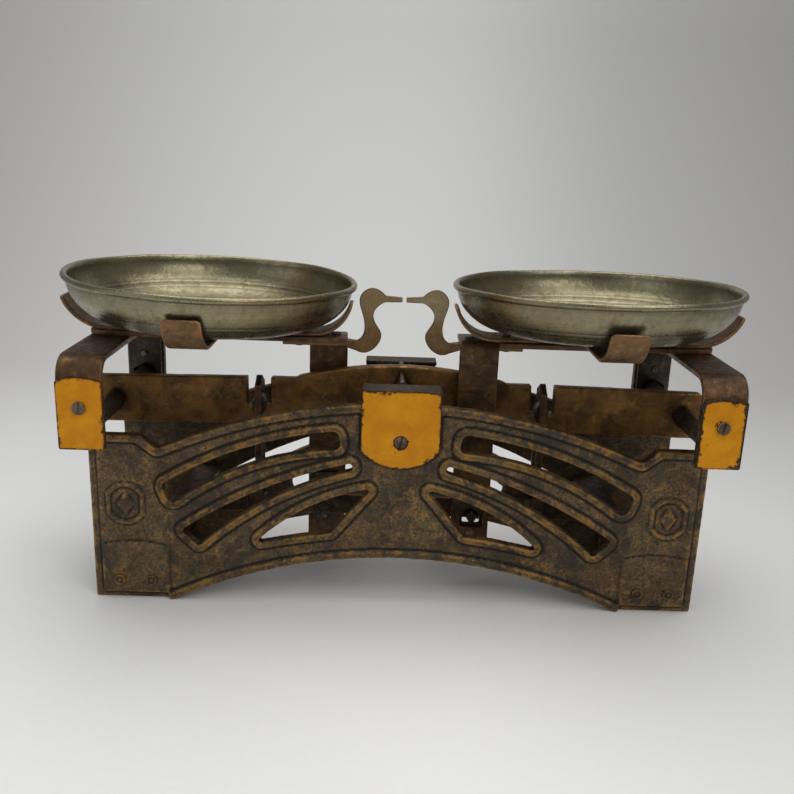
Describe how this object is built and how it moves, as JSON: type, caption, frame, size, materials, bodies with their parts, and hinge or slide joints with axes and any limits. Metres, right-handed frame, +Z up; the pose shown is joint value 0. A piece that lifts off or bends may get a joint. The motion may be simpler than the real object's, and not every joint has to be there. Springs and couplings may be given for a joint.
{
  "type": "equal arm balance scale",
  "caption": "Equal arm counter balance: two pierced castings hold a knife-edge beam with auxiliary levers, and level carriers with bird pointers hold round lift-off pans.",
  "frame": {"origin": "on the surface it stands on, under the middle of the beam", "axes": "+X along the beam to the right-hand pan, +Y from front to back, +Z up"},
  "size_m": [0.4012, 0.1699, 0.1951],
  "materials": {
    "casting": "worn bronze paint over rough cast iron",
    "dark_steel": "dark brown patinated steel with rubbed edges",
    "yellow_paint": "chipped ochre yellow enamel over dark steel",
    "screw_steel": "tarnished steel",
    "knife_steel": "dark hardened steel",
    "plated_pan": "pitted tin plate with turning marks",
    "pointer_plate": "pitted nickel plate with bronze tarnish"
  },
  "bodies": {
    "frame": {"back_bearing_cap": "yellow_paint", "back_centre_bearing": "knife_steel", "back_frame": "casting", "cap_screws": "screw_steel", "front_bearing_cap": "yellow_paint", "front_centre_bearing": "knife_steel", "front_frame": "casting", "left_end_tie": "dark_steel", "left_fulcrum_bridge": "dark_steel", "right_end_tie": "dark_steel", "right_fulcrum_bridge": "dark_steel", "tie_screws": "screw_steel"},
    "beam": {"centre_knife": "knife_steel", "left_end_knife": "knife_steel", "left_link_knife": "knife_steel", "main_beam": "casting", "right_end_knife": "knife_steel", "right_link_knife": "knife_steel"},
    "left_carrier": {"left_carrier_bar": "dark_steel", "left_end_strap": "dark_steel", "left_leg_bearing": "knife_steel", "left_long_arm": "dark_steel", "left_cross_arm": "dark_steel", "left_carrier_rivets": "screw_steel", "left_pointer": "pointer_plate", "left_strap_bearings": "knife_steel", "left_cover_screws": "screw_steel", "left_front_cover": "yellow_paint", "left_back_cover": "yellow_paint"},
    "left_lever": {"left_aux_lever": "dark_steel", "left_fulcrum_knife": "knife_steel", "left_lever_link_knife": "knife_steel", "left_leg_knife": "knife_steel"},
    "left_link": {"left_link": "dark_steel"},
    "left_pan": {"left_pan": "plated_pan"},
    "right_carrier": {"right_carrier_bar": "dark_steel", "right_end_strap": "dark_steel", "right_leg_bearing": "knife_steel", "right_long_arm": "dark_steel", "right_cross_arm": "dark_steel", "right_carrier_rivets": "screw_steel", "right_pointer": "pointer_plate", "right_strap_bearings": "knife_steel", "right_cover_screws": "screw_steel", "right_front_cover": "yellow_paint", "right_back_cover": "yellow_paint"},
    "right_lever": {"right_aux_lever": "dark_steel", "right_fulcrum_knife": "knife_steel", "right_lever_link_knife": "knife_steel", "right_leg_knife": "knife_steel"},
    "right_link": {"right_link": "dark_steel"},
    "right_pan": {"right_pan": "plated_pan"}
  },
  "joints": [
    {"name": "beam_tilt", "type": "hinge", "parent": "frame", "child": "beam", "pos_m": [0, 0, 0.121], "axis": [0, 1, 0], "range_deg": [-1.1, 1.1]},
    {"name": "left_carrier_level", "type": "hinge", "parent": "beam", "child": "left_carrier", "pos_m": [-0.172, 0, 0.121], "axis": [0, 1, 0], "range_deg": [-1.2, 1.2]},
    {"name": "left_link_swing", "type": "hinge", "parent": "beam", "child": "left_link", "pos_m": [-0.086, 0, 0.121], "axis": [0, 1, 0], "range_deg": [-1.2, 1.2]},
    {"name": "left_lever_rock", "type": "hinge", "parent": "frame", "child": "left_lever", "pos_m": [-0.126, 0, 0.0515], "axis": [0, 1, 0], "range_deg": [-2.46, 2.46]},
    {"name": "left_pan_lift", "type": "slide", "parent": "left_carrier", "child": "left_pan", "axis": [0, 0, 1], "range_m": [0, 0.08]},
    {"name": "right_carrier_level", "type": "hinge", "parent": "beam", "child": "right_carrier", "pos_m": [0.172, 0, 0.121], "axis": [0, 1, 0], "range_deg": [-1.2, 1.2]},
    {"name": "right_link_swing", "type": "hinge", "parent": "beam", "child": "right_link", "pos_m": [0.086, 0, 0.121], "axis": [0, 1, 0], "range_deg": [-1.2, 1.2]},
    {"name": "right_lever_rock", "type": "hinge", "parent": "frame", "child": "right_lever", "pos_m": [0.126, 0, 0.0515], "axis": [0, 1, 0], "range_deg": [-2.46, 2.46]},
    {"name": "right_pan_lift", "type": "slide", "parent": "right_carrier", "child": "right_pan", "axis": [0, 0, 1], "range_m": [0, 0.08]}
  ],
  "couplings": [
    {"joint": "left_carrier_level", "follows": "beam_tilt", "ratio": -1},
    {"joint": "left_link_swing", "follows": "beam_tilt", "ratio": -1},
    {"joint": "left_lever_rock", "follows": "beam_tilt", "ratio": -2.15},
    {"joint": "right_carrier_level", "follows": "beam_tilt", "ratio": -1},
    {"joint": "right_link_swing", "follows": "beam_tilt", "ratio": -1},
    {"joint": "right_lever_rock", "follows": "beam_tilt", "ratio": -2.15}
  ]
}
